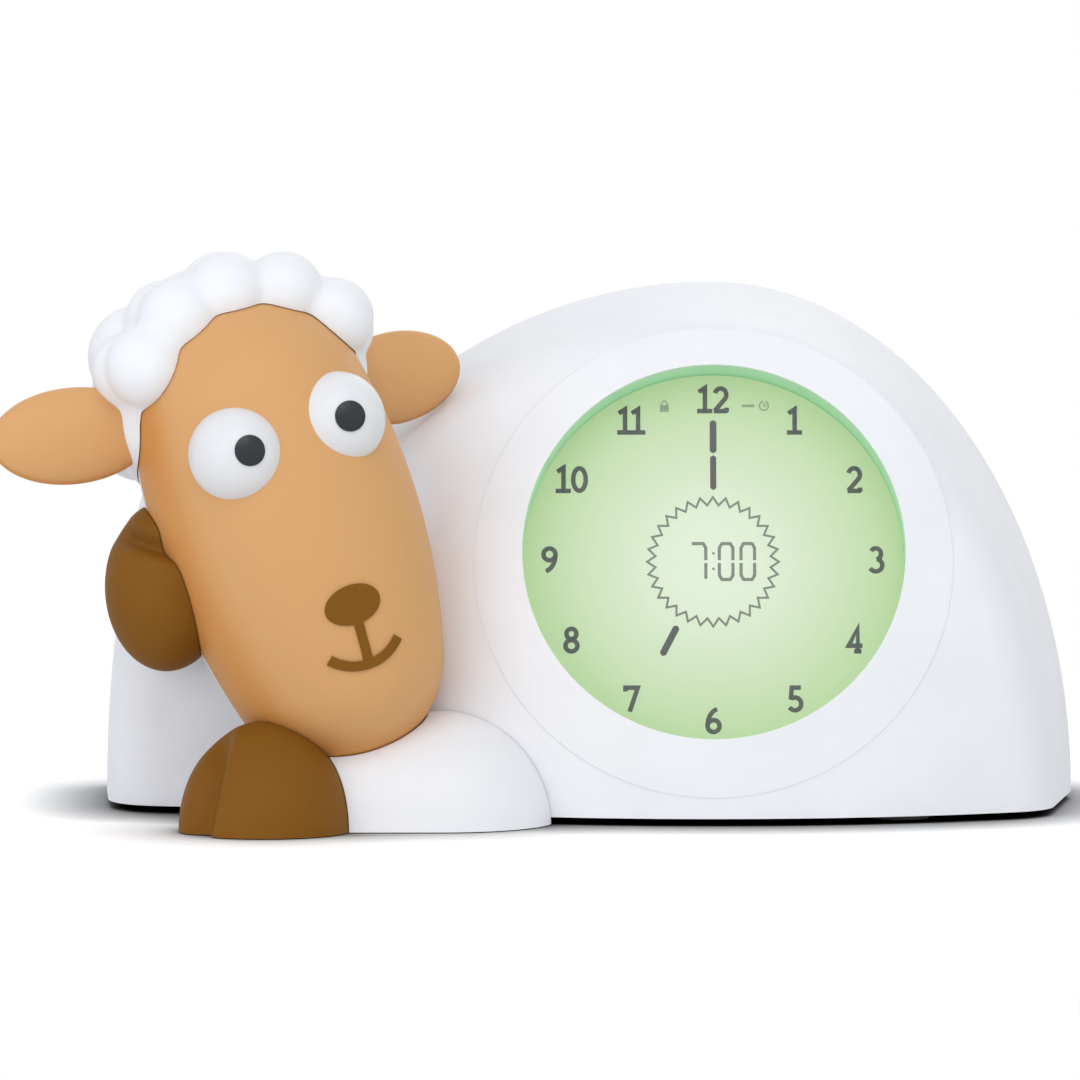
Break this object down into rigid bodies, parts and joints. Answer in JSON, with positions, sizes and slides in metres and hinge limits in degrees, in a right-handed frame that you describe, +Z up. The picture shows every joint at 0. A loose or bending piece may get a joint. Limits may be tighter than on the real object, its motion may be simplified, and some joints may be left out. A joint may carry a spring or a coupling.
{
  "type": "kids alarm clock with night light",
  "caption": "Bedside clock with a lit round dial set in the white dome of a lying toy sheep, its head resting on its forelegs, with buttons and a battery bay behind.",
  "frame": {"origin": "bottom centre of the whole clock, on the surface that it stands on", "axes": "+X along the clock's width to the viewer's right, +Y from the dial to the rear, +Z up"},
  "size_m": [0.2397, 0.132, 0.1262],
  "materials": {
    "white_plastic": "satin white moulded plastic",
    "wool_white": "soft matt white moulded plastic",
    "tan_plastic": "satin tan moulded plastic",
    "brown_plastic": "satin brown moulded plastic",
    "eye_white": "smooth white plastic",
    "pupil_dark": "smooth black plastic",
    "green_light": "translucent light guide, lit green",
    "display_green": "backlit segment display, pale green",
    "diffuser_white": "opal diffuser",
    "clear_window": "clear window",
    "board_green": "glass fibre circuit board",
    "lamp_white": "light emitting diodes",
    "connector_white": "nylon connectors",
    "black_plastic": "black plastic",
    "button_grey": "light grey plastic",
    "steel": "zinc plated steel",
    "rubber": "rubber pads",
    "battery": "dry cells, plain sleeve"
  },
  "bodies": {
    "clock": {"base_plate": "white_plastic", "base_screws": "steel", "battery_box": "white_plastic", "battery_cells": "battery", "battery_contacts": "steel", "board_connectors": "connector_white", "capacitors": "black_plastic", "carrier_screws": "steel", "cheek_hoof": "brown_plastic", "control_board": "board_green", "controller_chip": "black_plastic", "dial_ring": "white_plastic", "dial_window": "clear_window", "diffuser": "diffuser_white", "display_carrier": "white_plastic", "display_glass": "display_green", "face_shell": "tan_plastic", "front_hoof": "brown_plastic", "front_shell": "white_plastic", "head_back": "white_plastic", "lamp_board": "board_green", "lamps": "lamp_white", "left_ear": "tan_plastic", "left_eye": "eye_white", "left_pupil": "pupil_dark", "light_board": "board_green", "light_chamber": "white_plastic", "light_ring": "green_light", "lying_foreleg": "white_plastic", "main_board": "board_green", "nose_and_mouth": "brown_plastic", "power_board": "board_green", "power_inlet": "black_plastic", "push_switches": "black_plastic", "rear_shell": "white_plastic", "right_ear": "tan_plastic", "right_eye": "eye_white", "right_pupil": "pupil_dark", "rubber_feet": "rubber", "shell_screws": "steel", "slide_body": "steel", "speaker_cone": "black_plastic", "speaker_frame": "black_plastic", "speaker_magnet": "steel", "wool_cap": "wool_white"},
    "hour_button": {"hour_button": "button_grey"},
    "minute_button": {"minute_button": "button_grey"},
    "alarm_button": {"alarm_button": "button_grey"},
    "volume_button": {"volume_button": "button_grey"},
    "snooze_button": {"snooze_button": "button_grey"},
    "nap_button": {"nap_button": "button_grey"},
    "light_button": {"light_button": "button_grey"},
    "slide_knob": {"slide_knob": "button_grey"},
    "battery_door": {"battery_door": "white_plastic", "door_screw": "steel"}
  },
  "joints": [
    {"name": "hour_button_press", "type": "slide", "parent": "clock", "child": "hour_button", "axis": [0, -0.9903, -0.1392], "range_m": [0, 0.001], "stiffness_N_per_m": 400, "springref_m": -0.0005},
    {"name": "minute_button_press", "type": "slide", "parent": "clock", "child": "minute_button", "axis": [0, -0.9903, -0.1392], "range_m": [0, 0.001], "stiffness_N_per_m": 400, "springref_m": -0.0005},
    {"name": "alarm_button_press", "type": "slide", "parent": "clock", "child": "alarm_button", "axis": [0, -0.9903, -0.1392], "range_m": [0, 0.001], "stiffness_N_per_m": 400, "springref_m": -0.0005},
    {"name": "volume_button_press", "type": "slide", "parent": "clock", "child": "volume_button", "axis": [0, -0.9903, -0.1392], "range_m": [0, 0.001], "stiffness_N_per_m": 400, "springref_m": -0.0005},
    {"name": "snooze_button_press", "type": "slide", "parent": "clock", "child": "snooze_button", "axis": [0, -0.9903, -0.1392], "range_m": [0, 0.001], "stiffness_N_per_m": 400, "springref_m": -0.0005},
    {"name": "nap_button_press", "type": "slide", "parent": "clock", "child": "nap_button", "axis": [0, -0.9903, -0.1392], "range_m": [0, 0.001], "stiffness_N_per_m": 400, "springref_m": -0.0005},
    {"name": "light_button_press", "type": "slide", "parent": "clock", "child": "light_button", "axis": [0, -0.9903, -0.1392], "range_m": [0, 0.001], "stiffness_N_per_m": 400, "springref_m": -0.0005},
    {"name": "slide_switch", "type": "slide", "parent": "clock", "child": "slide_knob", "axis": [-1, 0, 0], "range_m": [0, 0.004]},
    {"name": "battery_door_hinge", "type": "hinge", "parent": "clock", "child": "battery_door", "pos_m": [0.0523, 0.06262, 0.01056], "axis": [-1, 0, 0], "range_deg": [0, 70]}
  ]
}
